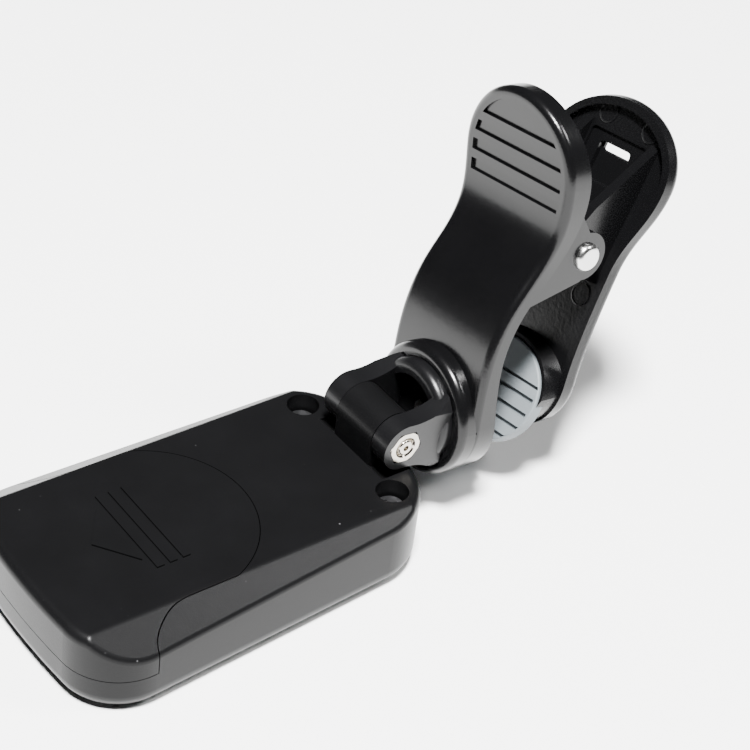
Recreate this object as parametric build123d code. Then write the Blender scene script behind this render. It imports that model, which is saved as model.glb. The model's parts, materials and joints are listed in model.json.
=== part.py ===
"""Clip-on tuner: a flat tuner body, a tilting and swivelling yoke, and a sprung two-jaw clip.

Everything is first drawn in one of three frames and then placed in the part's frame:
- the tuner frame: x across the body, y along it towards the hinge, z out of its back face;
  its origin is under the hinge axis, on the back face
- the yoke frame: z runs out of the clip towards the hinge, y up along the clip, and its
  origin is on the outer face of the front jaw
- the clip frame: the yoke frame turned by the swivel angle
"""
import math
import os

from build123d import *

# ---- driving dimensions, mm ----
BODY_HALF = 15.6            # half width at the far end, before its corners are rounded
BODY_THICK = 9.6            # back face to front face
BODY_FAR = -45.3            # far end of the body, measured from the hinge axis
BODY_NEAR = 2.3             # hinge end of the body
FLAT_HALF = 11.4            # half width of the flat back face
EDGE_DROP = 2.9             # how far the sloping border falls below the back face
SPLIT_Z = -5.2              # joint line of the two case halves
WALL = 1.4
ROOF = 1.5                  # thickness of the back face's wall
GAP = 0.1                   # clearance between covers and their openings
NEAR_HALF = 12.9            # the body tapers to this half width at the hinge end
CROWN_DROP = 3.4            # how far the bowed hinge end falls back at its corners
HEEL_DROP = 1.3             # the same at the far end
FAR_CORNER = 7.0
NEAR_CORNER = 8.0
FOOT_ROUND = 2.2
TOP_ROUND = 1.1
RIDGE_ROUND = 3.0           # the sloping borders run softly into the flat back
SLOPE_WALL = 2.1            # the sloping border's wall, measured level

HINGE_HEIGHT = 3.17         # hinge axis above the back face
HINGE_X = 0.5               # middle of the tongue and the clip, off the body's middle
KNUCKLE_R = 3.0
KNUCKLE_HALF = 3.2          # half width of the tongue between the yoke's arms
ARM_R = 2.95
ARM_INNER = 3.3
ARM_OUTER = 5.8
ARM_SWEEP = 4.35            # scoops in the case that clear the arms
HINGE_SCREW_R = 1.0
NUT_FLATS = 3.75
NUT_THICK = 1.6

TILT_DEG = -7.8             # resting tilt of the clip from square to the body
SWIVEL_DEG = 8.17           # resting swivel of the clip about the yoke
HINGE_TO_JAW = 8.0          # hinge axis to the outer face of the front jaw
RING_R = 7.85               # outside of the swivel ring on the front jaw
DISC_R = 6.22               # yoke base, a running fit in the ring
CUP_TALL = 3.4              # top of the yoke's round base
RING_BORE_R = 6.3
RING_TALL = 1.9

CELL_Y = -29.8              # middle of the coin cell and of the cover's arc
CELL_R = 10.0               # a CR2032 cell
CELL_THICK = 3.2
CELL_TOP = -1.9
COVER_R = 12.23
SCREW_X = 8.7
SCREW_Y = -3.2
LENS_W = 21.0               # display lens in the front face
LENS_H = 21.0
LENS_Y = -19.5
BUTTON_Y = -39.2
BUTTON_R = 3.0

JAW_HALF = 7.95             # half width of the clip's jaws at the waist
THUMB_R = 8.9               # round thumb end of the front jaw
JAW_TIP = -7.6
JAW_TOP = 37.7
PLATE = 1.7                 # front jaw's plate
GRIP_INSET = 1.5            # thumb slots end this far inside the rim
SLOT_ROWS = (26.35, 28.75, 31.15)
SLOT_TALL = 1.35
SLOT_TOP = 32.95            # the last slot fills the round end from here
SLOT_DEEP = 0.38
EAR = 1.3                   # thickness of the ears about the pivot pin
FLANGE_WALL = 1.5
FRONT_EAR_R = 2.9
REAR_EAR_OUT = 6.1          # outer face of the rear jaw's ears
PIVOT_Y = 19.96
PIVOT_Z = -12.95
PIN_R = 1.2
PIN_HEAD_R = 1.68
REAR_TOP = 34.4
REAR_END_HALF = 9.9         # the rear jaw's handle end is a flatter oval
REAR_END_LONG = 7.6
REAR_TIP = -4.4
REAR_WALL = 0.95
PAD_Y = 0.7                 # middle of the rear pad's oval
PAD_A = 7.3
PAD_B = 5.75
COIL_R = 2.3
WIRE_R = 0.4
COIL_TURNS = 4

ORIGIN_Y = 3.47             # tuner frame's origin, from the middle of the whole part's box

# ---- frames ----
TILT = math.radians(TILT_DEG)
SWIVEL = math.radians(SWIVEL_DEG)
BODY_PLACE = Location((0, ORIGIN_Y, BODY_THICK))
OUT = Vector(0, -math.cos(TILT), -math.sin(TILT))
UP = Vector(0, -math.sin(TILT), math.cos(TILT))
ACROSS = Vector(1, 0, 0)
JAW_ORIGIN = Vector(HINGE_X, 0, HINGE_HEIGHT) - OUT * HINGE_TO_JAW
YOKE_PLACE = BODY_PLACE * Plane(JAW_ORIGIN, x_dir=ACROSS, z_dir=OUT).location
CLIP_X = ACROSS * math.cos(SWIVEL) + UP * math.sin(SWIVEL)
CLIP_PLACE = BODY_PLACE * Plane(JAW_ORIGIN, x_dir=CLIP_X, z_dir=OUT).location


# ---- helpers ----
def slab(face, low, high):
    """A flat face drawn on z = 0, extruded between two heights."""
    return extrude(Pos(0, 0, low) * face, high - low)


def disc(radius, low, high, x=0.0, y=0.0):
    return Pos(x, y, (low + high) / 2) * Cylinder(radius, high - low)


def block(x0, x1, y0, y1, z0, z1):
    middle = Pos((x0 + x1) / 2, (y0 + y1) / 2, (z0 + z1) / 2)
    return middle * Box(x1 - x0, y1 - y0, z1 - z0)


def rod(radius, x0, x1, y, z):
    """A cylinder along x."""
    return Pos((x0 + x1) / 2, y, z) * Rot(0, 90, 0) * Cylinder(radius, x1 - x0)


def sideways(face, x0, x1):
    """A face drawn in the y-z plane, extruded along x from x0 to x1."""
    return extrude(Pos(x0, 0, 0) * face, x1 - x0, dir=(1, 0, 0))


def band(upper, lower, half):
    """Solid between two smooth side curves, each a list of (y, z), across x = -half..half."""
    top = Spline(*[(0, y, z) for y, z in upper])
    bottom = Spline(*[(0, y, z) for y, z in lower])
    near = Line(top @ 0, bottom @ 0)
    far = Line(top @ 1, bottom @ 1)
    return sideways(make_face([top, far, bottom, near]), -half, half)


def lowered(curve, drop):
    return [(y, z - drop) for y, z in curve]


def round_edges(solid, edges, radius):
    """Fillet edges; a smaller radius is used where the full one doesn't fit."""
    for size in (radius, radius * 0.75, radius * 0.5, radius * 0.3):
        try:
            result = fillet(edges, size)
            if result.is_valid:
                return result
        except Exception:
            continue
    print("left sharp:", radius)
    return solid


# ---- tuner body ----
def body_outline(inset=0.0):
    """Plan of the body: sides that taper to the hinge end, bowed ends, round corners."""
    near = BODY_NEAR - inset
    far = BODY_FAR + inset
    near_half = NEAR_HALF - inset
    far_half = BODY_HALF - inset
    crown = ThreePointArc((near_half, near - CROWN_DROP), (0, near), (-near_half, near - CROWN_DROP))
    heel = ThreePointArc((-far_half, far + HEEL_DROP), (0, far), (far_half, far + HEEL_DROP))
    right = Line(heel @ 1, crown @ 0)
    left = Line(crown @ 1, heel @ 0)
    plan = make_face([heel, right, crown, left])
    corners = plan.vertices().sort_by(Axis.Y)
    plan = fillet(corners[:2], FAR_CORNER - inset)
    corners = plan.vertices().sort_by(Axis.Y)
    return fillet(corners[-2:], NEAR_CORNER - inset)


def side_slope(side):
    """Block that lies on the sloping border of one side."""
    angle = math.degrees(math.atan2(EDGE_DROP, BODY_HALF - FLAT_HALF))
    lying = Rot(0, angle, 0) * Pos(8, 0, 5) * Box(30, 140, 10)
    cutter = Pos(FLAT_HALF, 0, 0) * lying
    return cutter if side > 0 else mirror(cutter, about=Plane.YZ)


def along_y(edge):
    return abs(edge.tangent_at(0.5).Y) > 0.99 and edge.length > 15


def body_block():
    """The closed outer shape of the body, before it is split and hollowed."""
    block_out = slab(body_outline(), -BODY_THICK, 0)
    block_out = round_edges(block_out, block_out.edges().group_by(Axis.Z)[0], FOOT_ROUND)
    block_out = round_edges(block_out, block_out.edges().group_by(Axis.Z)[-1], TOP_ROUND)
    for side in (-1, 1):
        block_out = block_out - side_slope(side)
    ridges = [e for e in block_out.edges() if along_y(e) and e.position_at(0.5).Z > -EDGE_DROP - 0.5]
    return round_edges(block_out, ridges, RIDGE_ROUND)


def cavity(low):
    """Inside of the rear half: its roof follows the sloping borders."""
    space = slab(body_outline(WALL), low, -ROOF)
    for side in (-1, 1):
        space = space - Pos(-side * SLOPE_WALL, 0, 0) * side_slope(side)
    return space


def under_slopes(solid):
    """Trim a rib that stands inside, to clear the cover's sloping borders."""
    for side in (-1, 1):
        solid = solid - Pos(-side * (SLOPE_WALL + 0.2), 0, 0) * side_slope(side)
    return solid


def cover_plan(grow=0.0):
    """Plan of the battery cover: the cell's arc, shoulders, and the whole far end."""
    arc = Pos(0, CELL_Y) * Circle(COVER_R + grow) & Rectangle(2 * (FLAT_HALF + grow), 200)
    reach = BODY_HALF + 2
    waist = FLAT_HALF + grow
    end_y = BODY_FAR - 2
    neck = (waist, CELL_Y - 1.0)
    shoulder = Spline(neck, (waist + 0.5, -34.2 + grow), (waist + 2.3, -36.7 + grow), (reach, -37.5 + grow),
                      tangents=((0, -1), (1, -0.1)))
    mirrored = mirror(shoulder, about=Plane.YZ)
    top = Line(neck, (-neck[0], neck[1]))
    right = Line((reach, -37.5 + grow), (reach, end_y))
    left = Line((-reach, -37.5 + grow), (-reach, end_y))
    bottom = Line((reach, end_y), (-reach, end_y))
    return arc + make_face([top, shoulder, right, bottom, left, mirrored])


def arrow_marks():
    """Raised sliding arrow: three bars and a triangle that points to the far end."""
    low = -0.05
    high = 0.22
    marks = [block(-6.4, 6.4, y - 0.45, y + 0.45, low, high) for y in (-28.6, -30.2, -31.8)]
    head = make_face(Polyline((-4.6, -33.0), (4.6, -33.0), (0, -36.4), close=True))
    marks.append(slab(head, low, high))
    return marks


def battery_cover(shell):
    rear = shell & slab(cover_plan(), SPLIT_Z + GAP, 1.0)
    rear = rear - cavity(SPLIT_Z - 1)
    for side in (-1, 1):
        root = block(side * 4 - 1.5, side * 4 + 1.5, -20.8, -19.2, -1.85, -1.3)
        lip = block(side * 4 - 1.5, side * 4 + 1.5, -19.6, -16.6, -1.85, -1.55)
        rear = rear + root + lip
    for mark in arrow_marks():
        rear = rear + mark
    return rear


def knuckle():
    """Tongue at the hinge end that the yoke's arms straddle."""
    web = [(-KNUCKLE_R, -1.0), (KNUCKLE_R * 0.72, -1.0), (KNUCKLE_R, HINGE_HEIGHT),
           (-KNUCKLE_R, HINGE_HEIGHT)]
    plate = make_face(Polyline(*[(0, y, z) for y, z in web], close=True))
    tongue = sideways(plate, -KNUCKLE_HALF, KNUCKLE_HALF)
    tongue = tongue + rod(KNUCKLE_R, -KNUCKLE_HALF, KNUCKLE_HALF, 0, HINGE_HEIGHT)
    tongue = tongue - rod(HINGE_SCREW_R + 0.05, -8, 8, 0, HINGE_HEIGHT)
    return Pos(HINGE_X, 0, 0) * tongue


def rear_case(shell):
    case = shell - cavity(-BODY_THICK - 1)
    case = case & block(-30, 30, -60, 30, SPLIT_Z, 1.0)
    case = case - slab(cover_plan(GAP), -BODY_THICK, 2.0)
    well = body_outline(WALL + 0.1) - body_outline(WALL + 0.9)
    case = case + under_slopes(slab(well & (Pos(0, -31) * Rectangle(40, 32)), -5.9, -1.7))
    rim = body_outline(WALL - 0.1) - body_outline(WALL + 0.9)
    case = case + under_slopes(slab(rim & (Pos(0, -22.5) * Rectangle(40, 23)), SPLIT_Z, -1.7))
    tray = body_outline(WALL + 0.1) & (Pos(0, -31) * Rectangle(40, 32))
    case = case + slab(tray, -5.9, -5.45)
    bulkhead = slab(tray & (Pos(0, -15.4) * Rectangle(40, 0.8)), -5.9, -ROOF + 0.1)
    case = case + (bulkhead & shell)
    for side in (-1, 1):
        x = side * SCREW_X
        case = case + (disc(2.6, SPLIT_Z + 0.1, -1.3, x, SCREW_Y) & shell)
        case = case - disc(1.9, -3.0, 2.0, x, SCREW_Y) - disc(0.85, -7, -2.9, x, SCREW_Y)
    for x0, x1 in ((-ARM_OUTER, -ARM_INNER), (ARM_INNER, ARM_OUTER)):
        sweep_room = rod(ARM_SWEEP, HINGE_X + x0 - 0.3, HINGE_X + x1 + 0.3, 0, HINGE_HEIGHT)
        case = case - sweep_room
    return case + knuckle()


def front_case(shell):
    case = shell & block(-30, 30, -60, 30, -BODY_THICK - 1, SPLIT_Z)
    case = case - slab(body_outline(WALL), -BODY_THICK + WALL, 1.0)
    for side in (-1, 1):
        boss = disc(1.7, -BODY_THICK + 1.0, SPLIT_Z, side * SCREW_X, SCREW_Y)
        case = case + boss - disc(0.7, -8.0, 0.0, side * SCREW_X, SCREW_Y)
    lens_seat = Pos(0, LENS_Y) * RectangleRounded(LENS_W + 2 * GAP, LENS_H + 2 * GAP, 2.1)
    window = Pos(0, LENS_Y) * RectangleRounded(LENS_W - 3, LENS_H - 3, 1.2)
    case = case - slab(lens_seat, -BODY_THICK - 1, -BODY_THICK + 0.95)
    case = case - slab(window, -BODY_THICK, -BODY_THICK + 3)
    return case - disc(BUTTON_R + 0.15, -BODY_THICK - 1, -BODY_THICK + 3, 0, BUTTON_Y)


def display_lens():
    lens = Pos(0, LENS_Y) * RectangleRounded(LENS_W, LENS_H, 2.0)
    return slab(lens, -BODY_THICK + 0.05, -BODY_THICK + 0.95)


def lcd_module():
    glass = Pos(0, LENS_Y) * RectangleRounded(LENS_W - 1, LENS_H - 1, 0.6)
    return slab(glass, -8.2, -7.2)


def lcd_connectors():
    half = LENS_W / 2 - 1.5
    return [block(-half, half, LENS_Y + y - 0.8, LENS_Y + y + 0.8, -7.2, -6.75) for y in (-8.2, 8.2)]


def circuit_board():
    board = slab(body_outline(WALL + 0.8), -6.75, -5.95)
    for side in (-1, 1):
        board = board - disc(2.1, -8, -4, side * SCREW_X, SCREW_Y)
    return board


def board_chips():
    chip = block(-3, 3, -12.0, -6.0, -5.95, -4.95)
    crystal = block(5.2, 7.2, -13.0, -9.0, -5.95, -5.05)
    return [chip, crystal]


def power_switch():
    body = block(-1.9, 1.9, BUTTON_Y - 1.9, BUTTON_Y + 1.9, -7.0, -6.75)
    return body + disc(1.1, -7.2, -6.9, 0, BUTTON_Y)


def power_button():
    cap = disc(BUTTON_R, -BODY_THICK + 0.15, -BODY_THICK + 1.6, 0, BUTTON_Y)
    cap = round_edges(cap, cap.edges().group_by(Axis.Z)[0], 0.35)
    flange = disc(BUTTON_R + 0.7, -8.1, -7.85, 0, BUTTON_Y)
    return cap + flange + disc(1.2, -8.0, -7.65, 0, BUTTON_Y)


def coin_cell():
    can = disc(CELL_R, CELL_TOP - CELL_THICK + 0.4, CELL_TOP, 0, CELL_Y)
    can = round_edges(can, can.edges(), 0.25)
    return can + disc(CELL_R - 1.2, CELL_TOP - CELL_THICK, CELL_TOP - CELL_THICK + 0.5, 0, CELL_Y)


def contact_negative():
    plate = disc(4.0, -5.42, -5.22, 0, CELL_Y)
    return plate + block(-1.2, 1.2, CELL_Y, -17.4, -5.42, -5.22)


def contact_positive():
    ring = Circle(CELL_R + 0.45) - Circle(CELL_R + 0.2)
    arc = Pos(0, CELL_Y) * ring & (Pos(0, CELL_Y + 10.0) * Rectangle(9, 6))
    return slab(arc, -5.2, -2.1)


def piezo_disc():
    return disc(5.0, -ROOF - 0.35, -ROOF, 0, -8.5)


def piezo_ceramic():
    return disc(3.6, -ROOF - 0.6, -ROOF - 0.35, 0, -8.5)


def case_screw(side):
    x = side * SCREW_X
    head = disc(1.6, -3.0, -2.1, x, SCREW_Y)
    head = head - block(x - 1.0, x + 1.0, SCREW_Y - 0.2, SCREW_Y + 0.2, -2.45, -2.0)
    head = head - block(x - 0.2, x + 0.2, SCREW_Y - 1.0, SCREW_Y + 1.0, -2.45, -2.0)
    return head + disc(0.68, -7.8, -2.95, x, SCREW_Y)


# ---- yoke and hinge, in the yoke frame ----
def arm(side):
    """One arm: a round eye at the hinge, flaring into the swivel base."""
    flare = 5.4
    root = 1.6
    right = Spline((0, ARM_R, HINGE_TO_JAW), (0, 3.3, 5.2), (0, flare, root))
    left = Spline((0, -ARM_R, HINGE_TO_JAW), (0, -3.1, 5.2), (0, -flare, root))
    plate = make_face([right, Line(right @ 1, left @ 1), left, Line(left @ 0, right @ 0)])
    inner = side * ARM_INNER
    web = extrude(Pos(inner, 0, 0) * plate, ARM_OUTER - ARM_INNER, dir=(side, 0, 0))
    web = web & disc(DISC_R + 0.55, -1, HINGE_TO_JAW + 4)
    ends = sorted((side * ARM_INNER, side * ARM_OUTER))
    return web + rod(ARM_R, ends[0], ends[1], 0, HINGE_TO_JAW)


def swivel_yoke():
    base = disc(DISC_R, 0.06, CUP_TALL)
    base = round_edges(base, base.edges().group_by(Axis.Z)[-1], 1.1)
    base = base - disc(4.5, 1.4, 6.0)
    yoke = base
    for side in (-1, 1):
        blank = arm(side)
        cut_below = block(-20, 20, -20, 20, -5, RING_TALL + 0.25)
        outer = blank - (cut_below - disc(DISC_R, -6, 5))
        yoke = yoke + outer
    yoke = yoke - rod(HINGE_SCREW_R + 0.03, -8, 8, 0, HINGE_TO_JAW)
    nut_pocket = Pos(ARM_OUTER - NUT_THICK / 2 + 0.3, 0, HINGE_TO_JAW) * Rot(0, 90, 0)
    hexagon = RegularPolygon((NUT_FLATS + 0.1) / 2, 6, major_radius=False)
    yoke = yoke - nut_pocket * extrude(hexagon, NUT_THICK / 2 + 0.3, both=True)
    yoke = yoke - rod(1.95, -ARM_OUTER - 1, -ARM_OUTER + 1.0, 0, HINGE_TO_JAW)
    return yoke - disc(0.95, -1, 1.5)


def hinge_screw():
    shank = rod(HINGE_SCREW_R, -ARM_OUTER + 0.9, ARM_OUTER + 0.12, 0, HINGE_TO_JAW)
    shank = round_edges(shank, shank.edges().group_by(Axis.X)[-1], 0.3)
    shank = shank - rod(0.36, ARM_OUTER - 0.4, ARM_OUTER + 1, 0, HINGE_TO_JAW)
    head = rod(1.85, -ARM_OUTER - 0.35, -ARM_OUTER + 1.0, 0, HINGE_TO_JAW)
    head = round_edges(head, head.edges().group_by(Axis.X)[0], 0.5)
    slot_one = block(-8, -ARM_OUTER + 0.25, -1.1, 1.1, HINGE_TO_JAW - 0.2, HINGE_TO_JAW + 0.2)
    slot_two = block(-8, -ARM_OUTER + 0.25, -0.2, 0.2, HINGE_TO_JAW - 1.1, HINGE_TO_JAW + 1.1)
    return head + shank - slot_one - slot_two


def hinge_nut():
    nut = extrude(RegularPolygon(NUT_FLATS / 2, 6, major_radius=False), NUT_THICK / 2, both=True)
    nut = nut & chamfer(Cylinder(2.12, NUT_THICK).edges().group_by(Axis.Z)[-1], 0.16)
    nut = nut - Cylinder(HINGE_SCREW_R, 4)
    nut = nut - Pos(0, 0, NUT_THICK / 2 - 0.2) * Cone(HINGE_SCREW_R, HINGE_SCREW_R + 0.35, 0.42)
    return Pos(ARM_OUTER - NUT_THICK / 2 + 0.02, 0, HINGE_TO_JAW) * Rot(0, 90, 0) * nut


def swivel_screw():
    head = disc(1.9, -3.3, -2.15)
    head = head - block(-1.1, 1.1, -0.2, 0.2, -4, -2.9) - block(-0.2, 0.2, -1.1, 1.1, -4, -2.9)
    return head + disc(0.95, -2.2, 1.35)


def swivel_washer():
    return disc(3.1, -2.13, -1.75) - disc(1.02, -3, 0)


# ---- clip, in the clip frame ----
FRONT_FACE = [(-10, 0.0), (-2, 0.0), (5, -0.08), (10, -0.75), (15, -2.7), (19.2, -5.55), (23.2, -7.35),
              (28.0, -7.5), (33.0, -7.0), (40.0, -5.9)]
FRONT_EDGE = [(-10, -2.8), (4, -2.8), (9.5, -3.0), (14.0, -4.8), (18.0, -7.65), (22.5, -10.05),
              (28.0, -10.75), (32.0, -10.25), (40.0, -8.7)]
REAR_RIM = [(-8, -12.9), (-2, -12.9), (4, -13.35), (10.8, -15.0), (15.5, -16.6), (20.4, -18.5),
            (24.4, -20.3), (29.5, -22.4), (40.0, -26.4)]


def jaw_plan(tip, waist, end_half, end_long, top, inset=0.0):
    """Plan of a jaw: round tip, parallel waist, and a wider handle end shaped as half an oval."""
    tip_r = waist - inset
    tip_y = tip + waist
    wide = end_half - inset
    end_y = top - end_long
    neck = (tip_r, PIVOT_Y - 3)
    right = Spline(neck, (wide, end_y), tangents=((0, 1), (0, 1)))
    side = Line((tip_r, tip_y), neck)
    oval = Pos(0, end_y) * EllipticalCenterArc((0, 0), wide, end_long - inset, start_angle=0, arc_size=180)
    left = mirror(right, about=Plane.YZ)
    back = mirror(side, about=Plane.YZ)
    nose = ThreePointArc((-tip_r, tip_y), (0, tip_y - tip_r), (tip_r, tip_y))
    return make_face([side, right, oval, left, back, nose])


def front_plan(inset=0.0):
    return jaw_plan(JAW_TIP, JAW_HALF, THUMB_R, THUMB_R, JAW_TOP, inset)


def rear_plan(inset=0.0):
    return jaw_plan(REAR_TIP, JAW_HALF + 0.1, REAR_END_HALF, REAR_END_LONG, REAR_TOP, inset)


def ear(x0, x1, points, radius):
    """Flat ear about the pivot: a polygon in y-z and a round boss, between x0 and x1."""
    plate = make_face(Polyline(*[(x0, y, z) for y, z in points], close=True))
    return extrude(plate, x1 - x0, dir=(1, 0, 0)) + rod(radius, x0, x1, PIVOT_Y, PIVOT_Z)


def grip_slots():
    """Four shallow slots across the thumb rest; the outermost follows the round end."""
    face = front_plan(GRIP_INSET)
    slots = [Pos(0, y) * RectangleRounded(15.4, SLOT_TALL, 0.5) & face for y in SLOT_ROWS]
    slots.append(face & (Pos(0, SLOT_TOP + 10) * Rectangle(20, 20)))
    return slots


def front_jaw():
    outer = front_plan()
    inner = front_plan(FLANGE_WALL)
    jaw = band(FRONT_FACE, FRONT_EDGE, 12) & slab(outer, -40, 20)
    top_rim = front_rim(jaw)
    jaw = round_edges(jaw, top_rim, 0.9)
    hollow = band(lowered(FRONT_FACE, PLATE), lowered(FRONT_EDGE, 9.0), 12) & slab(inner, -40, 20)
    jaw = jaw - hollow
    for slot in grip_slots():
        jaw = jaw - (slab(slot, -20, 5) & band(lowered(FRONT_FACE, -3), lowered(FRONT_FACE, SLOT_DEEP), 12))
    ears = [(15.0, -5.4), (16.9, -12.6), (PIVOT_Y, PIVOT_Z - FRONT_EAR_R + 0.1), (22.9, -12.9), (27.0, -10.0),
            (22, -8.4)]
    for x0 in (-JAW_HALF, JAW_HALF - EAR):
        jaw = jaw + ear(x0, x0 + EAR, ears, FRONT_EAR_R)
    ring = disc(RING_R, -0.6, RING_TALL)
    ring = round_edges(ring, ring.edges().group_by(Axis.Z)[-1], 1.1)
    jaw = jaw + ring - disc(RING_BORE_R, 0.0, 6.0) - disc(1.25, -6, 2)
    return jaw - rod(PIN_R + 0.05, -12, 12, PIVOT_Y, PIVOT_Z)


def front_rim(jaw):
    """Edges round the outer face of the front jaw."""
    rim = []
    for edge in jaw.edges():
        middle = edge.position_at(0.5)
        expected = curve_height(FRONT_FACE, middle.Y)
        if abs(middle.Z - expected) < 0.25:
            rim.append(edge)
    return rim


def curve_height(curve, y):
    """Height of a side curve at y."""
    line = Spline(*[(0, a, b) for a, b in curve])
    low = 0.0
    high = 1.0
    for _ in range(30):
        half = (low + high) / 2
        if (line @ half).Y < y:
            low = half
        else:
            high = half
    return (line @ low).Z


def front_pad():
    """Rubber pad under the mouth end of the front jaw, hollow over the swivel screw."""
    side = make_face(Polyline((0, -6.3, -PLATE - 0.12), (0, 4.6, -PLATE - 0.25), (0, 4.6, -3.9),
                              (0, -5.6, -6.1), (0, -6.3, -5.6), close=True))
    pad = sideways(side, -4.4, 4.4)
    pad = pad & slab(front_plan(FLANGE_WALL + 0.08), -20, 5)
    return pad - disc(3.5, -3.7, 0)


def pad_oval(grow=0.0):
    return Pos(0, PAD_Y) * Ellipse(PAD_A + grow, PAD_B + grow)


def rear_seat():
    """Ramp at the mouth of the rear jaw that carries the pad."""
    side = make_face(Polyline((0, -7, -6.15), (0, 8.0, -13.35), (0, 8.0, -16), (0, -7, -16), close=True))
    ramp = sideways(side, -12, 12)
    return ramp & slab(pad_oval(0.4), -20, 0)


def rear_jaw():
    outer = rear_plan()
    inner = rear_plan(REAR_WALL)
    jaw = band(REAR_RIM, lowered(REAR_RIM, 2.4), 12) & slab(outer, -50, 20)
    foot = [e for e in jaw.edges() if abs(e.position_at(0.5).Z + 2.4 -
                                          curve_height(REAR_RIM, e.position_at(0.5).Y)) < 0.25]
    jaw = round_edges(jaw, foot, 1.1)
    jaw = jaw - (band(lowered(REAR_RIM, -3), lowered(REAR_RIM, 0.95), 12) & slab(inner, -50, 20))
    pocket = Pos(0, 26.3) * RectangleRounded(9.0, 7.6, 0.6)
    jaw = jaw - (slab(pocket, -50, 0) & band(lowered(REAR_RIM, -3), lowered(REAR_RIM, 1.3), 12))
    hook = Pos(-0.2, 26.6) * RectangleRounded(5.0, 4.4, 0.5)
    jaw = jaw - (slab(hook, -50, 0) & band(lowered(REAR_RIM, -3), lowered(REAR_RIM, 2.0), 12))
    opening = Pos(-0.2, 28.15) * RectangleRounded(4.4, 1.1, 0.3)
    jaw = jaw - slab(opening, -50, 0)
    jaw = jaw + (rear_seat() & slab(rear_plan(0.3), -15, 0))
    jaw = jaw - rear_pad_shape(0.02)
    ears = [(14.8, -17.9), (17.6, -11.6), (PIVOT_Y, PIVOT_Z + 2.6), (24.7, -15.1), (30.9, -24.0), (22, -20.8)]
    for x0 in (-REAR_EAR_OUT, REAR_EAR_OUT - EAR):
        jaw = jaw + ear(x0, x0 + EAR, ears, 2.9)
    return jaw - rod(PIN_R + 0.05, -12, 12, PIVOT_Y, PIVOT_Z)


def rear_pad_shape(grow=0.0):
    """Oval rubber sheet on the ramp, thickest at the tip."""
    side = make_face(Polyline((0, -7, -5.75), (0, 8.0, -12.95), (0, 8.0, -14.2 - grow),
                              (0, -7, -7.5 - grow), close=True))
    sheet = sideways(side, -12, 12)
    return sheet & slab(pad_oval(grow), -20, 0)


def pivot_pin():
    pin = rod(PIN_R, -JAW_HALF - 0.1, JAW_HALF + 0.1, PIVOT_Y, PIVOT_Z)
    for side in (-1, 1):
        x = side * (JAW_HALF + 0.02)
        head = rod(PIN_HEAD_R, min(x, x + side * 0.75), max(x, x + side * 0.75), PIVOT_Y, PIVOT_Z)
        crown = head.edges().group_by(Axis.X)[-1 if side > 0 else 0]
        pin = pin + round_edges(head, crown, 0.65)
    return pin


def torsion_spring():
    """Wound on the pivot pin; one leg bears on each jaw's handle."""
    pitch = 2 * WIRE_R + 0.12
    tall = pitch * COIL_TURNS
    helix = Helix(pitch, tall, COIL_R)
    section = Plane(helix @ 0, z_dir=helix % 0) * Circle(WIRE_R)
    coil = sweep(section, helix)
    turned = Pos(-tall / 2, PIVOT_Y, PIVOT_Z) * Rot(0, 90, 0) * coil
    return turned


def build_parts():
    shell = body_block()
    body = {
        "front_case": front_case(shell),
        "rear_case": rear_case(shell),
        "battery_cover": battery_cover(shell),
        "case_screws": [case_screw(-1), case_screw(1)],
        "display_lens": display_lens(),
        "lcd_module": lcd_module(),
        "lcd_connectors": lcd_connectors(),
        "circuit_board": circuit_board(),
        "board_chips": board_chips(),
        "power_switch": power_switch(),
        "power_button": power_button(),
        "coin_cell": coin_cell(),
        "contact_negative": contact_negative(),
        "contact_positive": contact_positive(),
        "piezo_disc": piezo_disc(),
        "piezo_ceramic": piezo_ceramic(),
    }
    yoke = {
        "swivel_yoke": swivel_yoke(),
        "hinge_screw": hinge_screw(),
        "hinge_nut": hinge_nut(),
        "swivel_screw": swivel_screw(),
        "swivel_washer": swivel_washer(),
    }
    clip = {
        "front_jaw": front_jaw(),
        "front_pad": front_pad(),
        "rear_jaw": rear_jaw(),
        "rear_pad": rear_pad_shape(),
        "pivot_pin": pivot_pin(),
        "torsion_spring": torsion_spring(),
    }
    return [(body, BODY_PLACE), (yoke, YOKE_PLACE), (clip, CLIP_PLACE)]


def write_parts():
    os.makedirs("parts", exist_ok=True)
    for group, place in build_parts():
        for name, shape in group.items():
            pieces = shape if isinstance(shape, list) else [shape]
            solids = [s for piece in pieces for s in piece.solids()]
            placed = Compound(children=solids).moved(place) if len(solids) > 1 else solids[0].moved(place)
            export_step(placed, os.path.join("parts", name + ".step"))


write_parts()
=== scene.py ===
"""Clip-on tuner: finishes, rubber pads, spring and stage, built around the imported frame."""

import json
import math

import bpy
import bmesh
from mathutils import Euler, Matrix, Vector


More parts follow.
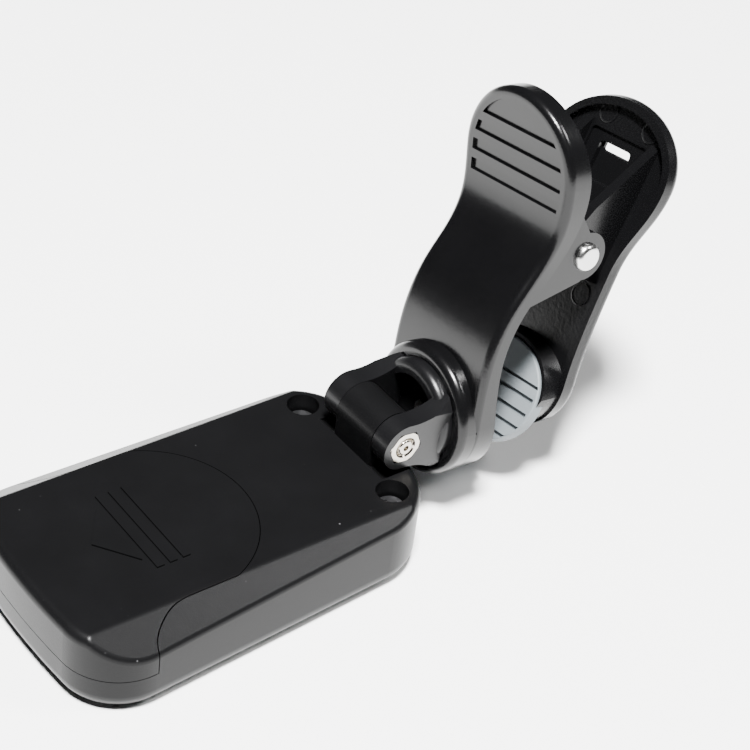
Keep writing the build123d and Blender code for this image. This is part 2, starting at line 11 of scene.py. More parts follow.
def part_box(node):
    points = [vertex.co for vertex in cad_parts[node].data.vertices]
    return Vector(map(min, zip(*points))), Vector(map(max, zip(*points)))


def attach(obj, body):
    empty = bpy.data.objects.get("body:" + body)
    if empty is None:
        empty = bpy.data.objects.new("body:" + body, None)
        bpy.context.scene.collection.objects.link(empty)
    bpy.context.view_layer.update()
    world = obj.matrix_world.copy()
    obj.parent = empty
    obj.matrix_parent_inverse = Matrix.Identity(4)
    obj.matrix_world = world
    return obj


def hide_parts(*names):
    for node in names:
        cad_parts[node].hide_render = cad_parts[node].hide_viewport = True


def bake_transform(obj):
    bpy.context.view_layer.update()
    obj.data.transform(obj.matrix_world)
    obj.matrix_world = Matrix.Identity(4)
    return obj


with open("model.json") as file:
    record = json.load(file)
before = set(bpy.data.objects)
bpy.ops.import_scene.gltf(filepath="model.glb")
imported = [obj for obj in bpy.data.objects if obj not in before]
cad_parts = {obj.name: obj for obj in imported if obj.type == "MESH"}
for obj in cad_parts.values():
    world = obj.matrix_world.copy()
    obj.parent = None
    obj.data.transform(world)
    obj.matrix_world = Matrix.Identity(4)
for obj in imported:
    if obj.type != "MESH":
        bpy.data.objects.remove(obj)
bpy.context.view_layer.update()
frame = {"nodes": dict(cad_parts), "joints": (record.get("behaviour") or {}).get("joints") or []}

bl_info = {
    "name": "Clip-on Tuner",
    "version": (1, 0, 0),
    "blender": (4, 5, 0),
    "location": "View3D > Sidebar > Tuner",
    "description": "Finishes and soft pieces of a clip-on tuner",
    "category": "Object",
}


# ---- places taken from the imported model's joints ----
def joint(name):
    return next(j for j in frame["joints"] if j["name"] == name)


def frame_matrix(origin, across, outward):
    """A turned and placed frame: x across, z outward, y to match."""
    z = Vector(outward).normalized()
    x = Vector(across)
    x = (x - z * x.dot(z)).normalized()
    y = z.cross(x)
    turned = Matrix((x, y, z)).transposed().to_4x4()
    return Matrix.Translation(Vector(origin)) @ turned


CLIP = frame_matrix(joint("swivel")["pos_m"], joint("jaw_open")["axis"], joint("swivel")["axis"])
PIVOT = CLIP.inverted() @ Vector(joint("jaw_open")["pos_m"])
CLIP_TURN = CLIP.to_euler("XYZ")
CLIP_MIDDLE = CLIP.translation

# ---- sizes in metres and angles in degrees, in the clip's own frame ----
RAMP_SLOPE = 0.48
RAMP_HEEL = -0.00575
RAMP_RUN = 0.0077
REAR_PAD_MIDDLE = 0.0007
REAR_PAD_GROOVES = (-0.0044, -0.0027, -0.0009, 0.0009, 0.0026)

FRONT_PAD_HALF_WIDTH = 0.0044
FRONT_PAD_LENGTH = 0.0106
FRONT_PAD_HEIGHT = 0.0030
FRONT_PAD_DEPTH = 0.00332
FIRST_FRONT_GROOVE = -0.0045
FRONT_GROOVE_STEP = 0.0013

COIL_START = 94
COIL_END = 220
FULL_TURNS = 3
COIL_GAP = 0.00012
FRONT_LEG = 0.0084
REAR_LEG = 0.0086
LEG_STEPS = 6

MARK_RADIUS = 0.0014
MARK_HEIGHT = 0.0003
# the middle of each mark, and the slope of the jaw's floor there in radians
EJECTOR_MARKS = (
    ((-0.0031, 0.0320, -0.02453), 0.37),
    ((0.0040, 0.0319, -0.02449), 0.37),
    ((0.0047, 0.0132, -0.01697), 0.33),
)

CAMERA_PLACE = (0.13933, -0.118286, 0.160087)
CAMERA_TURN = (52.368, -6.087, 53.622)
CAMERA_LENS = 100.2


# ---- what a user may change ----
class TunerColours(bpy.types.PropertyGroup):
    case: bpy.props.FloatVectorProperty(
        name="Case", description="Moulded ABS of the tuner body", subtype="COLOR", size=3,
        default=(0.0026, 0.0026, 0.0028))
    clip: bpy.props.FloatVectorProperty(
        name="Clip", description="Moulded ABS of the two jaws", subtype="COLOR", size=3,
        default=(0.0020, 0.0020, 0.0022))
    yoke: bpy.props.FloatVectorProperty(
        name="Yoke", description="Nylon of the swivel yoke", subtype="COLOR", size=3,
        default=(0.0030, 0.0030, 0.0033))
    rubber: bpy.props.FloatVectorProperty(
        name="Pad rubber", description="Grey rubber of the two pads", subtype="COLOR", size=3,
        default=(0.118, 0.133, 0.141))
    floor: bpy.props.FloatVectorProperty(
        name="Floor", description="Plain paper floor", subtype="COLOR", size=3,
        default=(0.86, 0.86, 0.855))


class TunerSizes(bpy.types.PropertyGroup):
    pad_half_width: bpy.props.FloatProperty(
        name="Pad half width", description="Half the long axis of the oval pad", unit="LENGTH",
        default=0.00730)
    pad_half_length: bpy.props.FloatProperty(
        name="Pad half length", description="Half the short axis, measured along the ramp", unit="LENGTH",
        default=0.00638)
    pad_thickness: bpy.props.FloatProperty(
        name="Pad thickness", description="Thickness of the rubber sheet at its tip", unit="LENGTH",
        default=0.0014)
    groove_width: bpy.props.FloatProperty(
        name="Groove width", description="Width of one groove in the pads", unit="LENGTH",
        default=0.00042)
    groove_depth: bpy.props.FloatProperty(
        name="Groove depth", description="Depth of one groove in the pads", unit="LENGTH",
        default=0.00045)
    wire_radius: bpy.props.FloatProperty(
        name="Wire radius", description="Radius of the spring's wire", unit="LENGTH",
        default=0.0004)
    coil_radius: bpy.props.FloatProperty(
        name="Coil radius", description="Middle radius of the spring's coil", unit="LENGTH",
        default=0.0023)
    lens_border: bpy.props.FloatProperty(
        name="Lens border", description="Printed border round the display window", unit="LENGTH",
        default=0.0019)


# ---- shader maths ----
class Value:
    """A socket that adds Math nodes when it is used in an expression."""

    def __init__(self, shader, socket):
        self.shader = shader
        self.socket = socket

    def _math(self, operation, first, second):
        return self.shader.node("ShaderNodeMath", {"operation": operation}, {0: first, 1: second})

    def __add__(self, other):
        return self._math("ADD", self, other)

    def __radd__(self, other):
        return self._math("ADD", other, self)

    def __sub__(self, other):
        return self._math("SUBTRACT", self, other)

    def __rsub__(self, other):
        return self._math("SUBTRACT", other, self)

    def __mul__(self, other):
        return self._math("MULTIPLY", self, other)

    def __rmul__(self, other):
        return self._math("MULTIPLY", other, self)

    def __lt__(self, other):
        return self._math("LESS_THAN", self, other)

    def __gt__(self, other):
        return self._math("GREATER_THAN", self, other)

    def absolute(self):
        return self._math("ABSOLUTE", self, 0.0)


def rgba(colour):
    """A colour with full alpha; a socket is passed on as it is."""
    return colour if isinstance(colour, Value) else tuple(colour) + (1.0,)


class Shader:
    """One material and the nodes that are added to it."""

    def __init__(self, name, colour, roughness, metallic=0.0, **constants):
        self.material = bpy.data.materials.new(name)
        self.material.use_nodes = True
        self.tree = self.material.node_tree
        self.surface = self.tree.nodes["Principled BSDF"]
        self.set("Base Color", rgba(colour))
        self.set("Roughness", roughness)
        self.set("Metallic", metallic)
        for socket, value in constants.items():
            self.set(socket.replace("_", " "), value)
        coordinates = self.tree.nodes.new("ShaderNodeTexCoord")
        self.place = Value(self, coordinates.outputs["Object"])

    def set(self, socket, value):
        if isinstance(value, Value):
            self.tree.links.new(value.socket, self.surface.inputs[socket])
        else:
            self.surface.inputs[socket].default_value = value

    def node(self, kind, settings, sockets, output=0):
        made = self.tree.nodes.new(kind)
        for name, value in settings.items():
            setattr(made, name, value)
        for name, value in sockets.items():
            if isinstance(value, Value):
                self.tree.links.new(value.socket, made.inputs[name])
            else:
                made.inputs[name].default_value = value
        return Value(self, made.outputs[output])

    def centred(self, middle=(0, 0, 0), turn=(0, 0, 0), scale=(1, 1, 1)):
        """Object coordinates, moved so that the pattern is centred and turned on the piece."""
        turned = Euler(turn, "XYZ").to_matrix().to_4x4()
        back = (Matrix.Translation(Vector(middle)) @ turned).inverted()
        angle = back.to_euler("XYZ")
        return self.node("ShaderNodeMapping", {"vector_type": "POINT"},
                         {"Vector": self.place, "Location": back.translation, "Rotation": angle,
                          "Scale": scale})

    def noise(self, scale, detail=2.0, roughness=0.5, vector=None):
        return self.node("ShaderNodeTexNoise", {},
                         {"Vector": vector or self.place, "Scale": scale, "Detail": detail,
                          "Roughness": roughness})

    def ramp(self, value, low, high, first=0.0, last=1.0):
        """Value between low and high, spread smoothly over first to last."""
        return self.node("ShaderNodeMapRange", {"interpolation_type": "SMOOTHSTEP"},
                         {"Value": value, "From Min": low, "From Max": high, "To Min": first,
                          "To Max": last})

    def mix(self, factor, first, second):
        return self.node("ShaderNodeMix", {"data_type": "RGBA"},
                         {0: factor, 6: rgba(first), 7: rgba(second)}, 2)

    def part_of(self, vector, axis):
        return self.node("ShaderNodeSeparateXYZ", {}, {"Vector": vector}, axis)

    def bump(self, height, distance, strength=1.0, under=None):
        sockets = {"Height": height, "Distance": distance, "Strength": strength}
        if under is not None:
            sockets["Normal"] = under
        return self.node("ShaderNodeBump", {}, sockets)


def scaled(colour, factor):
    return tuple(c * factor for c in colour)


def moulded_plastic(name, colour, gloss, grain, depth, specks=True, shine=0.3):
    """Spark-textured ABS: fine grain, faint flow variation, and a little dust."""
    shader = Shader(name, colour, gloss, Specular_IOR_Level=shine)
    flow = shader.noise(140.0, 3.0, 0.55)
    texture = shader.noise(grain, 3.0, 0.62)
    fine = shader.noise(grain * 2.7, 2.0, 0.5)
    tone = shader.mix(flow, scaled(colour, 0.82), scaled(colour, 1.22))
    rough = gloss + 0.06 * (flow - 0.5) + 0.08 * (texture - 0.5)
    if specks:
        cell = shader.node("ShaderNodeTexVoronoi", {"feature": "F1"},
                           {"Vector": shader.place, "Scale": 620.0, "Randomness": 1.0})
        spread = shader.ramp(shader.noise(900.0, 1.0), 0.60, 0.72)
        dust = shader.ramp(cell, 0.035, 0.085, 1.0, 0.0) * spread
        tone = shader.mix(dust * 0.35, tone, (0.16, 0.16, 0.165))
        rough = rough + dust * 0.2
    shader.set("Base Color", tone)
    shader.set("Roughness", rough)
    waves = shader.bump(flow, 0.00003, 0.35)
    shader.set("Normal", shader.bump(texture + fine * 0.5, depth, 0.55, waves))
    return shader.material


def rubber(name, colour):
    """Moulded rubber: matt, finely pitted, a little paler where it is handled."""
    shader = Shader(name, colour, 0.62, Specular_IOR_Level=0.42)
    blotch = shader.noise(260.0, 3.0, 0.6)
    pits = shader.noise(5200.0, 2.0, 0.6)
    shader.set("Base Color", shader.mix(blotch, scaled(colour, 0.86), scaled(colour, 1.14)))
    shader.set("Roughness", 0.60 + 0.14 * (pits - 0.5) + 0.10 * (blotch - 0.5))
    shader.set("Normal", shader.bump(pits, 0.00003, 0.5))
    return shader.material


def plated_metal(name, colour, gloss, stretch=(1, 1, 1), grime=0.35):
    """Plated or drawn metal: fine lines along one direction and duller patches."""
    shader = Shader(name, colour, gloss, 1.0)
    along = shader.centred(scale=stretch)
    lines = shader.noise(5200.0, 3.0, 0.6, along)
    patch = shader.noise(420.0, 3.0, 0.6)
    dull = shader.ramp(patch, 0.52, 0.74)
    shader.set("Base Color", shader.mix(dull * grime, colour, scaled(colour, 0.55)))
    shader.set("Roughness", gloss + 0.12 * (lines - 0.4) + dull * (0.4 * grime))
    shader.set("Normal", shader.bump(lines, 0.000012, 0.5))
    return shader.material


def give(material, *nodes):
    for name in nodes:
        mesh = frame["nodes"][name].data
        mesh.materials.clear()
        mesh.materials.append(material)


def halfway(low, high):
    return Vector([(a + b) / 2 for a, b in zip(low, high)])


# ---- modelling helpers ----
def clear_selection():
    if bpy.context.object is not None and bpy.context.object.mode != "OBJECT":
        bpy.ops.object.mode_set(mode="OBJECT")
    bpy.ops.object.select_all(action="DESELECT")


def edit_mode(kind="FACE"):
    bpy.ops.object.mode_set(mode="EDIT")
    bpy.ops.mesh.select_mode(type=kind)
    bpy.ops.mesh.select_all(action="DESELECT")


def choose(obj, kind, test):
    """Select the faces or edges whose middle and normal pass the test."""
    bpy.ops.mesh.select_mode(type=kind)
    bpy.ops.mesh.select_all(action="DESELECT")
    mesh = bmesh.from_edit_mesh(obj.data)
    mesh.normal_update()
    count = 0
    if kind == "FACE":
        for face in mesh.faces:
            if test(face.calc_center_median(), face.normal):
                face.select_set(True)
                count += 1
    else:
        for edge in mesh.edges:
            ends = [v.co for v in edge.verts]
            if test(ends[0], ends[1]):
                edge.select_set(True)
                count += 1
    mesh.select_flush_mode()
    bmesh.update_edit_mesh(obj.data)
    if count == 0:
        raise RuntimeError("nothing was selected on " + obj.name)


def extrude(x, y, z):
    bpy.ops.mesh.extrude_region_move(TRANSFORM_OT_translate={"value": (x, y, z)})


def face_outward():
    bpy.ops.mesh.select_all(action="SELECT")
    bpy.ops.mesh.normals_make_consistent(inside=False)


def object_mode():
    bpy.ops.object.mode_set(mode="OBJECT")


def settle(obj, place, material, angle=0.6):
    """Turn and place a finished piece, then put its place into its mesh."""
    clear_selection()
    obj.select_set(True)
    bpy.context.view_layer.objects.active = obj
    obj.matrix_world = place
    bpy.ops.object.transform_apply(location=True, rotation=True, scale=True)
    bpy.ops.object.shade_smooth_by_angle(angle=angle)
    obj.data.materials.clear()
    obj.data.materials.append(material)


def apply_modifier(obj, kind, **values):
    modifier = obj.modifiers.new(kind.title(), kind)
    for name, value in values.items():
        setattr(modifier, name, value)
    bpy.ops.object.modifier_apply(modifier=modifier.name)


def cut_grooves(obj, places, width, depth, reach):
    """Cut grooves across x into the faces that look up (+z), at the given y places."""
    for y in places:
        for edge_y in (y - width / 2, y + width / 2):
            bpy.ops.mesh.select_all(action="SELECT")
            bpy.ops.mesh.bisect(plane_co=(0, edge_y, 0), plane_no=(0, 1, 0))
    for x in (-reach, reach):
        bpy.ops.mesh.select_all(action="SELECT")
        bpy.ops.mesh.bisect(plane_co=(x, 0, 0), plane_no=(1, 0, 0))
    for y in places:
        choose(obj, "FACE",
               lambda c, n, y=y: n.z > 0.9 and abs(c.y - y) < width * 0.4 and abs(c.x) < reach)
        extrude(0, 0, -depth)


# ---- finishes of the CAD nodes ----
class TUNER_OT_body_finish(bpy.types.Operator):
    """Satin moulded plastic on the tuner's case halves and battery cover"""
    bl_idname = "tuner.body_finish"
    bl_label = "Body finish"

    def execute(self, context):
        colours = context.scene.tuner_colours
        give(moulded_plastic("case_abs", colours.case, 0.33, 4200.0, 0.000014, shine=0.11),
             "front_case", "rear_case", "battery_cover")
        give(plated_metal("black_zinc", (0.11, 0.11, 0.115), 0.34), "case_screws")
        button = Shader("button_silicone", (0.055, 0.058, 0.062), 0.55)
        pits = button.noise(4800.0, 2.0)
        button.set("Roughness", 0.5 + 0.2 * (pits - 0.5))
        tone = button.mix(button.noise(300.0), (0.045, 0.048, 0.052), (0.068, 0.07, 0.075))
        button.set("Base Color", tone)
        button.set("Normal", button.bump(pits, 0.00003, 0.45))
        give(button.material, "power_button")
        return {"FINISHED"}


class TUNER_OT_display_finish(bpy.types.Operator):
    """Smoked lens with a printed border, and the display glass behind it"""
    bl_idname = "tuner.display_finish"
    bl_label = "Display finish"

    def execute(self, context):
        sizes = context.scene.tuner_sizes
        low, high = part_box("display_lens")
        middle = halfway(low, high)
        half_x = (high[0] - low[0]) / 2 - sizes.lens_border
        half_y = (high[1] - low[1]) / 2 - sizes.lens_border
        lens = Shader("smoked_lens", (0.012, 0.012, 0.014), 0.08, Coat_Weight=0.4, Coat_Roughness=0.04)
        across = lens.centred(middle)
        x = lens.part_of(across, 0).absolute()
        y = lens.part_of(across, 1).absolute()
        inside = (x < half_x) * (y < half_y)
        hazing = lens.noise(700.0, 4.0, 0.6)
        lens.set("Alpha", 1.0 - inside * 0.68)
        lens.set("Roughness", 0.05 + 0.05 * hazing)
        lens.set("Base Color", lens.mix(hazing, (0.009, 0.009, 0.011), (0.016, 0.016, 0.018)))
        lens.set("Normal", lens.bump(hazing, 0.000006, 0.3))
        give(lens.material, "display_lens")
        low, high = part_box("lcd_module")
        glass = Shader("display_glass", (0.19, 0.22, 0.18), 0.16)
        local = glass.centred(halfway(low, high))
        gx = glass.part_of(local, 0)
        gy = glass.part_of(local, 1)
        frame_mask = (gx.absolute() > half_x - 0.0006)
        bars = glass.node("ShaderNodeTexWave", {"wave_type": "BANDS", "bands_direction": "X"},
                          {"Vector": local, "Scale": 260.0, "Distortion": 0.0})
        ticks = glass.ramp(bars, 0.72, 0.86) * (gy > 0.0022) * (gy < 0.0046) * (gx.absolute() < 0.0075)
        tone = glass.mix(ticks * 0.55, (0.20, 0.23, 0.19), (0.05, 0.06, 0.05))
        glass.set("Base Color", glass.mix(frame_mask, tone, (0.05, 0.055, 0.05)))
        glass.set("Roughness", 0.13 + 0.08 * glass.noise(500.0, 3.0))
        give(glass.material, "lcd_module")
        return {"FINISHED"}


class TUNER_OT_inside_finish(bpy.types.Operator):
    """Board, switch, cell, contacts and sounder inside the case"""
    bl_idname = "tuner.inside_finish"
    bl_label = "Inside finish"

    def execute(self, context):
        board = Shader("solder_mask", (0.012, 0.10, 0.035), 0.30)
        tracks = board.node("ShaderNodeTexBrick", {"offset": 0.35},
                            {"Vector": board.place, "Scale": 420.0, "Color1": (0, 0, 0, 1),
                             "Color2": (0.25, 0.25, 0.25, 1), "Mortar": (1, 1, 1, 1),
                             "Mortar Size": 0.03})
        board.set("Base Color", board.mix(tracks, (0.010, 0.085, 0.03), (0.02, 0.16, 0.055)))
        board.set("Roughness", 0.26 + 0.12 * board.noise(1500.0))
        board.set("Normal", board.bump(tracks, 0.00003, 0.5))
        give(board.material, "circuit_board")
        give(moulded_plastic("chip_epoxy", (0.02, 0.02, 0.021), 0.55, 7000.0, 0.00002, specks=False),
             "board_chips")
        give(plated_metal("switch_tin", (0.66, 0.66, 0.65), 0.3), "power_switch")
        give(plated_metal("cell_steel", (0.72, 0.71, 0.69), 0.22, (1, 9, 1), grime=0.06), "coin_cell")
        give(plated_metal("contact_nickel", (0.74, 0.71, 0.65), 0.25, (6, 1, 1)),
             "contact_negative", "contact_positive")
        give(plated_metal("sounder_brass", (0.78, 0.56, 0.24), 0.28), "piezo_disc")
        ceramic = Shader("sounder_ceramic", (0.72, 0.70, 0.64), 0.45)
        grain = ceramic.noise(2600.0, 3.0)
        ceramic.set("Base Color", ceramic.mix(grain, (0.66, 0.64, 0.58), (0.78, 0.77, 0.72)))
        ceramic.set("Roughness", 0.40 + 0.15 * grain)
        give(ceramic.material, "piezo_ceramic")
        stripes = Shader("elastomer", (0.30, 0.11, 0.10), 0.6)
        bands = stripes.node("ShaderNodeTexWave", {"bands_direction": "X"},
                             {"Vector": stripes.place, "Scale": 900.0})
        stripes.set("Base Color", stripes.mix(bands, (0.36, 0.14, 0.12), (0.05, 0.04, 0.04)))
        stripes.set("Roughness", 0.5 + 0.2 * bands)
        give(stripes.material, "lcd_connectors")
        return {"FINISHED"}


class TUNER_OT_clip_finish(bpy.types.Operator):
    """Semi-gloss moulded jaws, the nylon yoke and the metal fittings"""
    bl_idname = "tuner.clip_finish"
    bl_label = "Clip finish"

    def execute(self, context):
        colours = context.scene.tuner_colours
        give(moulded_plastic("front_jaw_abs", colours.clip, 0.20, 3600.0, 0.000010, False, 0.29),
             "front_jaw")
        give(self.rear_jaw(colours.clip), "rear_jaw")
        give(moulded_plastic("yoke_nylon", colours.yoke, 0.30, 3900.0, 0.000012, False, 0.24),
             "swivel_yoke")
        give(plated_metal("bright_nickel", (0.46, 0.43, 0.38), 0.15), "hinge_nut", "hinge_screw")
        give(plated_metal("rivet_nickel", (0.60, 0.60, 0.59), 0.22, grime=0.2), "pivot_pin")
        give(plated_metal("screw_steel", (0.60, 0.59, 0.57), 0.3), "swivel_screw", "swivel_washer")
        return {"FINISHED"}

    def rear_jaw(self, colour):
        """Smooth outside and handle, coarse spark texture on the floor near the mouth."""
        shader = Shader("rear_jaw_abs", colour, 0.24, Specular_IOR_Level=0.22)
        local = shader.centred(CLIP_MIDDLE, CLIP_TURN)
        along = shader.part_of(local, 1)
        coarse_zone = shader.ramp(along, 0.0185, 0.0205, 1.0, 0.0) * shader.ramp(along, 0.0045, 0.0075)
        flow = shader.noise(150.0, 3.0, 0.55)
        fine = shader.noise(3600.0, 3.0, 0.6)
        coarse = shader.noise(2300.0, 2.0, 0.5)
        shader.set("Base Color", shader.mix(flow, scaled(colour, 0.85), scaled(colour, 1.25)))
        shader.set("Roughness", 0.27 + 0.08 * (fine - 0.5) + coarse_zone * 0.09)
        grain = shader.bump(fine, 0.000012, 0.5)
        shader.set("Normal", shader.bump(coarse * coarse_zone, 0.00006, 0.6, grain))
        return shader.material


# ---- new pieces ----
class TUNER_OT_rear_pad(bpy.types.Operator):
    """Oval grooved rubber pad on the rear jaw's ramp"""
    bl_idname = "tuner.rear_pad"
    bl_label = "Rear pad"

    def execute(self, context):
        colours = context.scene.tuner_colours
        sizes = context.scene.tuner_sizes
        clear_selection()
        thick = sizes.pad_thickness
        bpy.ops.mesh.primitive_circle_add(vertices=96, radius=1.0, fill_type="NGON")
        pad = bpy.context.object
        pad.name = "ribbed_rear_pad"
        edit_mode()
        bpy.ops.mesh.select_all(action="SELECT")
        bpy.ops.transform.resize(value=(sizes.pad_half_width, sizes.pad_half_length, 1.0))
        extrude(0, 0, -thick)
        face_outward()
        choose(pad, "EDGE", lambda a, b: min(a.z, b.z) > -1e-6)
        bpy.ops.mesh.bevel(offset=0.00022, segments=3, profile=0.5)
        cut_grooves(pad, REAR_PAD_GROOVES, sizes.groove_width, sizes.groove_depth,
                    sizes.pad_half_width - 0.00055)
        bpy.ops.mesh.select_all(action="SELECT")
        bpy.ops.mesh.remove_doubles(threshold=0.0000005)
        bpy.ops.mesh.normals_make_consistent(inside=False)
        object_mode()
        middle = Vector((0.0, REAR_PAD_MIDDLE, RAMP_HEEL - RAMP_SLOPE * RAMP_RUN))
        place = CLIP @ Matrix.Translation(middle) @ Matrix.Rotation(-math.atan(RAMP_SLOPE), 4, "X")
        settle(pad, place, rubber("pad_rubber", colours.rubber))
        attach(pad, "clip_rear")
        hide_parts("rear_pad")
        return {"FINISHED"}


class TUNER_OT_front_pad(bpy.types.Operator):
    """Wedge-shaped ribbed rubber pad under the front jaw"""
    bl_idname = "tuner.front_pad"
    bl_label = "Front pad"

    def execute(self, context):
        colours = context.scene.tuner_colours
        sizes = context.scene.tuner_sizes
        clear_selection()
        half = FRONT_PAD_HALF_WIDTH
        bpy.ops.mesh.primitive_cube_add(size=1.0, location=(0, 0, 0))
        pad = bpy.context.object
        pad.name = "ribbed_front_pad"
        edit_mode()
        bpy.ops.mesh.select_all(action="SELECT")
        bpy.ops.transform.resize(value=(2 * half, FRONT_PAD_LENGTH, FRONT_PAD_HEIGHT))
        bpy.ops.transform.translate(value=(0, -0.00075, 0))
        choose(pad, "EDGE", lambda a, b: a.z > 0.001 and b.z > 0.001 and a.y < -0.005 and b.y < -0.005)
        bpy.ops.transform.translate(value=(0, 0, 0.00185))
        choose(pad, "EDGE", lambda a, b: abs(a.x - b.x) < 1e-6 and abs(a.y - b.y) < 1e-6)
        bpy.ops.mesh.bevel(offset=0.0017, segments=5, profile=0.5)
        choose(pad, "FACE", lambda c, n: n.z > 0.8)
        bpy.ops.mesh.inset(thickness=0.00022, depth=0.00018)
        rows = [FIRST_FRONT_GROOVE + FRONT_GROOVE_STEP * i for i in range(7)]
        cut_grooves(pad, rows, sizes.groove_width, sizes.groove_depth * 0.9, half - 0.0009)
        choose(pad, "FACE", lambda c, n: n.z < -0.9)
        bpy.ops.mesh.inset(thickness=0.0008, depth=0.0)
        extrude(0, 0, 0.00175)
        face_outward()
        object_mode()
        place = CLIP @ Matrix.Translation((0, 0, -FRONT_PAD_DEPTH)) @ Matrix.Rotation(math.pi, 4, "Y")
        settle(pad, place, rubber("front_pad_rubber", colours.rubber))
        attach(pad, "clip_front")
        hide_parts("front_pad")
        return {"FINISHED"}


class TUNER_OT_spring(bpy.types.Operator):
    """Torsion spring: a coil on the pivot pin and a leg bearing on each handle"""
    bl_idname = "tuner.spring"
    bl_label = "Torsion spring"

    def execute(self, context):
        sizes = context.scene.tuner_sizes
        wire = sizes.wire_radius
        coil = sizes.coil_radius
        start_angle = math.radians(COIL_START)
        turns = FULL_TURNS + (COIL_END - COIL_START) / 360
        tall = (2 * wire + COIL_GAP) * turns
        clear_selection()
        bpy.ops.mesh.primitive_circle_add(vertices=12, radius=wire, fill_type="NOTHING",
                                          location=(coil, 0, 0), rotation=(math.pi / 2, 0, 0))
        spring = bpy.context.object
        spring.name = "spring_wire"
        bpy.ops.object.transform_apply(location=True, rotation=True, scale=True)
        apply_modifier(spring, "SCREW", angle=2 * math.pi * turns, screw_offset=tall, steps=96,
                       render_steps=96, use_merge_vertices=False)
        self.leg(spring, (coil, 0.0, 0.0), Vector((0, -1, 0)), FRONT_LEG)
        end = 2 * math.pi * turns
        self.leg(spring, (coil * math.cos(end), coil * math.sin(end), tall),
                 Vector((-math.sin(end), math.cos(end), 0)), REAR_LEG)
        edit_mode()
        face_outward()
        object_mode()
        axes = Matrix(((0, 0, 1), (1, 0, 0), (0, 1, 0))).to_4x4()
        place = CLIP @ Matrix.Translation(PIVOT) @ axes @ Matrix.Translation((0, 0, -tall / 2))
        place = place @ Matrix.Rotation(start_angle, 4, "Z")
        metal = plated_metal("spring_wire_steel", (0.50, 0.49, 0.47), 0.26)
        settle(spring, place, metal, 1.2)
        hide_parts("torsion_spring")
        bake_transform(spring)
        return {"FINISHED"}

    def leg(self, spring, at, direction, length):
        """Draw the open end of the wire out into a straight leg and close it."""
        centre = Vector(at)
        edit_mode("EDGE")
        reach = 0.00045
        choose(spring, "EDGE", lambda a, b: all(
            (end - centre).length < reach and abs((end - centre).dot(direction)) < 0.00002
            for end in (a, b)))
        for _ in range(LEG_STEPS):
            extrude(*(direction * (length / LEG_STEPS)))
        bpy.ops.mesh.edge_face_add()
        bpy.ops.mesh.inset(thickness=0.00012, depth=0.00008)
        object_mode()


class TUNER_OT_ejector_marks(bpy.types.Operator):
    """Round ejector marks moulded into the floor of the rear jaw"""
    bl_idname = "tuner.ejector_marks"
    bl_label = "Ejector marks"

    def execute(self, context):
        colours = context.scene.tuner_colours
        material = moulded_plastic("ejector_mark_abs", colours.clip, 0.3, 3600.0, 0.00002, False)
        for index, (middle, slope) in enumerate(EJECTOR_MARKS):
            clear_selection()
            bpy.ops.mesh.primitive_circle_add(vertices=48, radius=MARK_RADIUS, fill_type="NGON")
            mark = bpy.context.object
            mark.name = "ejector_mark_%d" % (index + 1)
            edit_mode()
            bpy.ops.mesh.select_all(action="SELECT")
            extrude(0, 0, MARK_HEIGHT)
            face_outward()
            choose(mark, "FACE", lambda c, n: n.z > 0.9)
            bpy.ops.mesh.inset(thickness=0.00016, depth=0.0)
            bpy.ops.mesh.inset(thickness=0.00006, depth=-0.00012)
            choose(mark, "EDGE", lambda a, b: min(a.z, b.z) > MARK_HEIGHT - 0.00001
                   and a.xy.length > MARK_RADIUS - 0.00001)
            bpy.ops.mesh.bevel(offset=0.00006, segments=2, profile=0.5)
            object_mode()
            place = CLIP @ Matrix.Translation(middle) @ Matrix.Rotation(-slope, 4, "X")
            settle(mark, place, material)
            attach(mark, "clip_rear")
        return {"FINISHED"}


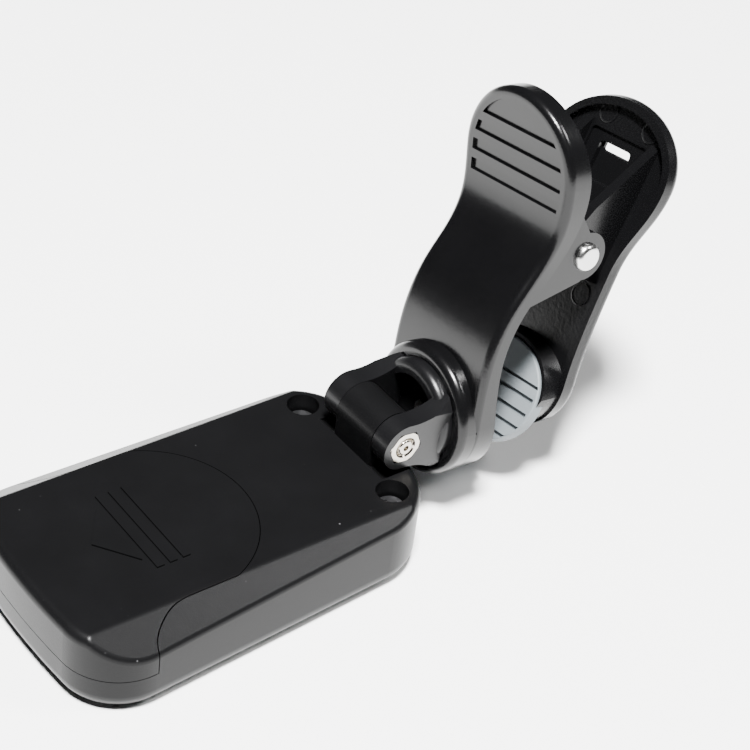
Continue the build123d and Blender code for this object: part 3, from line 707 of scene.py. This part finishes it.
# ---- stage ----
class TUNER_OT_stage(bpy.types.Operator):
    """Pale floor, soft lights and the camera"""
    bl_idname = "tuner.stage"
    bl_label = "Stage"

    def execute(self, context):
        colours = context.scene.tuner_colours
        clear_selection()
        bpy.ops.mesh.primitive_plane_add(size=12.0, location=(0, 0, -0.00005))
        floor = bpy.context.object
        floor.name = "paper_floor"
        paper = Shader("floor_paper", colours.floor, 0.75)
        paper.set("Roughness", 0.7 + 0.1 * paper.noise(30.0))
        floor.data.materials.append(paper.material)
        self.light("top_softbox", (0.20, -0.18, 0.92), 0.17, 0.17, 66.0)
        self.light("back_right_softbox", (0.42, 0.56, 0.78), 0.24, 0.24, 7.0)
        self.camera()
        self.world()
        return {"FINISHED"}

    def light(self, name, place, width, height, power):
        data = bpy.data.lights.new(name, "AREA")
        data.shape = "RECTANGLE"
        data.size = width
        data.size_y = height
        data.energy = power
        lamp = bpy.data.objects.new(name, data)
        lamp.location = place
        aim = Vector((0.0, 0.0, 0.015)) - Vector(place)
        lamp.rotation_euler = aim.to_track_quat("-Z", "Y").to_euler()
        bpy.context.scene.collection.objects.link(lamp)

    def camera(self):
        data = bpy.data.cameras.new("camera")
        data.sensor_width = 36.0
        data.lens = CAMERA_LENS
        data.clip_start = 0.01
        camera = bpy.data.objects.new("camera", data)
        camera.location = CAMERA_PLACE
        camera.rotation_euler = [math.radians(a) for a in CAMERA_TURN]
        bpy.context.scene.collection.objects.link(camera)
        bpy.context.scene.camera = camera

    def world(self):
        world = bpy.data.worlds.new("soft_room")
        bpy.context.scene.world = world
        world.use_nodes = True
        nodes = world.node_tree.nodes
        links = world.node_tree.links
        direction = nodes.new("ShaderNodeTexCoord")
        split = nodes.new("ShaderNodeSeparateXYZ")
        ramp = nodes.new("ShaderNodeValToRGB")
        ramp.color_ramp.elements[0].position = 0.02
        ramp.color_ramp.elements[0].color = (0.22, 0.22, 0.22, 1)
        ramp.color_ramp.elements[1].position = 0.30
        ramp.color_ramp.elements[1].color = (0.015, 0.015, 0.016, 1)
        links.new(direction.outputs["Generated"], split.inputs[0])
        links.new(split.outputs["Z"], ramp.inputs["Fac"])
        links.new(ramp.outputs["Color"], nodes["Background"].inputs["Color"])
        nodes["Background"].inputs["Strength"].default_value = 1.0


class TUNER_PT_panel(bpy.types.Panel):
    bl_idname = "TUNER_PT_panel"
    bl_label = "Clip-on tuner"
    bl_space_type = "VIEW_3D"
    bl_region_type = "UI"
    bl_category = "Tuner"

    def draw(self, context):
        layout = self.layout
        for group in (context.scene.tuner_colours, context.scene.tuner_sizes):
            box = layout.box()
            for name in group.bl_rna.properties.keys():
                if name not in ("rna_type", "name"):
                    box.prop(group, name)
        for operator in OPERATORS:
            layout.operator(operator.bl_idname)


OPERATORS = (
    TUNER_OT_body_finish,
    TUNER_OT_display_finish,
    TUNER_OT_inside_finish,
    TUNER_OT_clip_finish,
    TUNER_OT_rear_pad,
    TUNER_OT_front_pad,
    TUNER_OT_spring,
    TUNER_OT_ejector_marks,
    TUNER_OT_stage,
)
CLASSES = (TunerColours, TunerSizes) + OPERATORS + (TUNER_PT_panel,)


def register():
    for cls in CLASSES:
        bpy.utils.register_class(cls)
    bpy.types.Scene.tuner_colours = bpy.props.PointerProperty(type=TunerColours)
    bpy.types.Scene.tuner_sizes = bpy.props.PointerProperty(type=TunerSizes)


def unregister():
    del bpy.types.Scene.tuner_sizes
    del bpy.types.Scene.tuner_colours
    for cls in reversed(CLASSES):
        bpy.utils.unregister_class(cls)


def main():
    register()
    bpy.ops.tuner.stage()
    bpy.ops.tuner.body_finish()
    bpy.ops.tuner.display_finish()
    bpy.ops.tuner.inside_finish()
    bpy.ops.tuner.clip_finish()
    bpy.ops.tuner.rear_pad()
    bpy.ops.tuner.front_pad()
    bpy.ops.tuner.spring()
    bpy.ops.tuner.ejector_marks()


if __name__ == "__main__":
    main()
